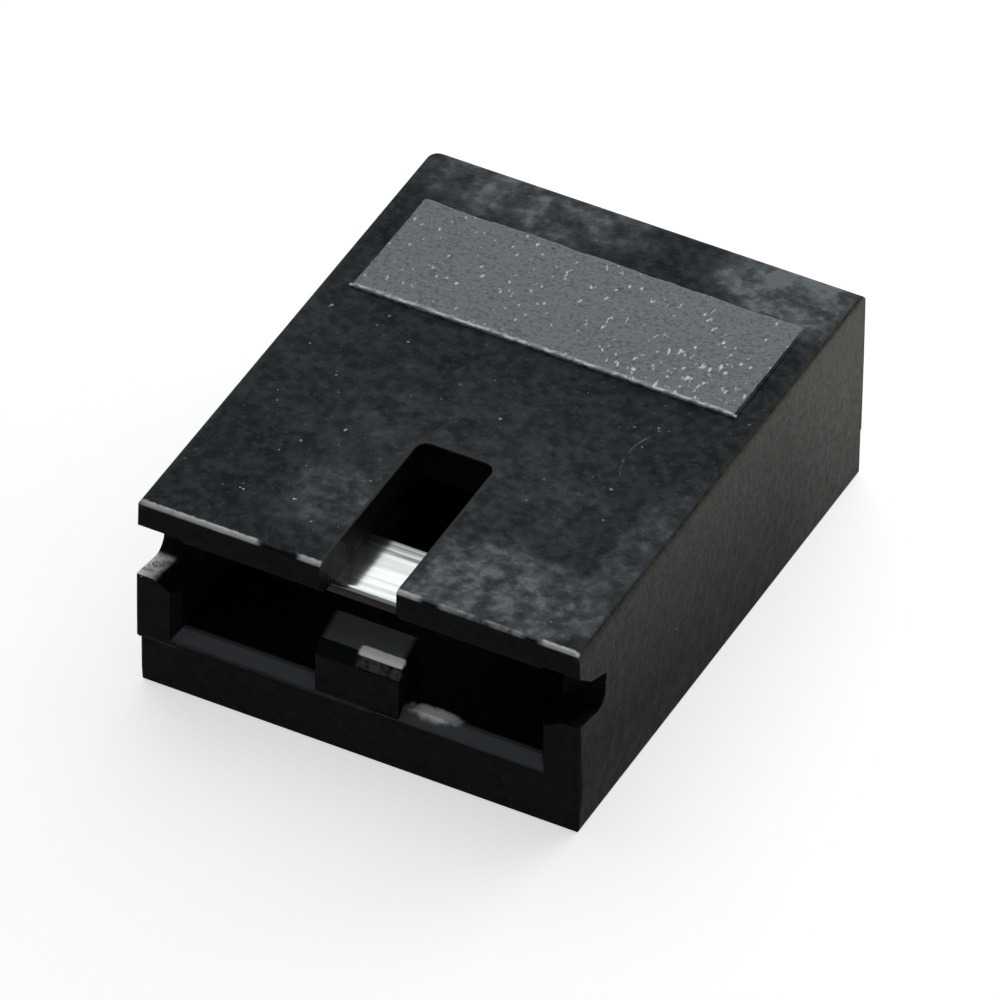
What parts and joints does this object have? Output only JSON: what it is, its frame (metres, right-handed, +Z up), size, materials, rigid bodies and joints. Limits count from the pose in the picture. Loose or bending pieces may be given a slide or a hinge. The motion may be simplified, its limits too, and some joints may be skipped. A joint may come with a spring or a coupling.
{
  "type": "jumper shunt",
  "caption": "Small black moulded jumper shunt with a tin-plated spring contact inside, a mouth for square header pins and a probe slot in its top.",
  "frame": {"origin": "middle of the footprint, on the broad face that the shunt lies on", "axes": "+X across the two positions, +Y from the mouth to the closed back, +Z up through the broad face with the pad and slot; the pins leave along -Y"},
  "size_m": [0.005, 0.0064, 0.0024],
  "materials": {
    "housing": "black glass-filled polyester, satin as moulded, worn pale along the mouth's edges, with a spark-eroded grain on the raised pad",
    "contact": "bright tin plate over phosphor bronze, with fine streaks across the strap and bare olive-brown cut edges"
  },
  "bodies": {
    "root": {"housing": "housing", "contact": "contact"}
  },
  "joints": []
}
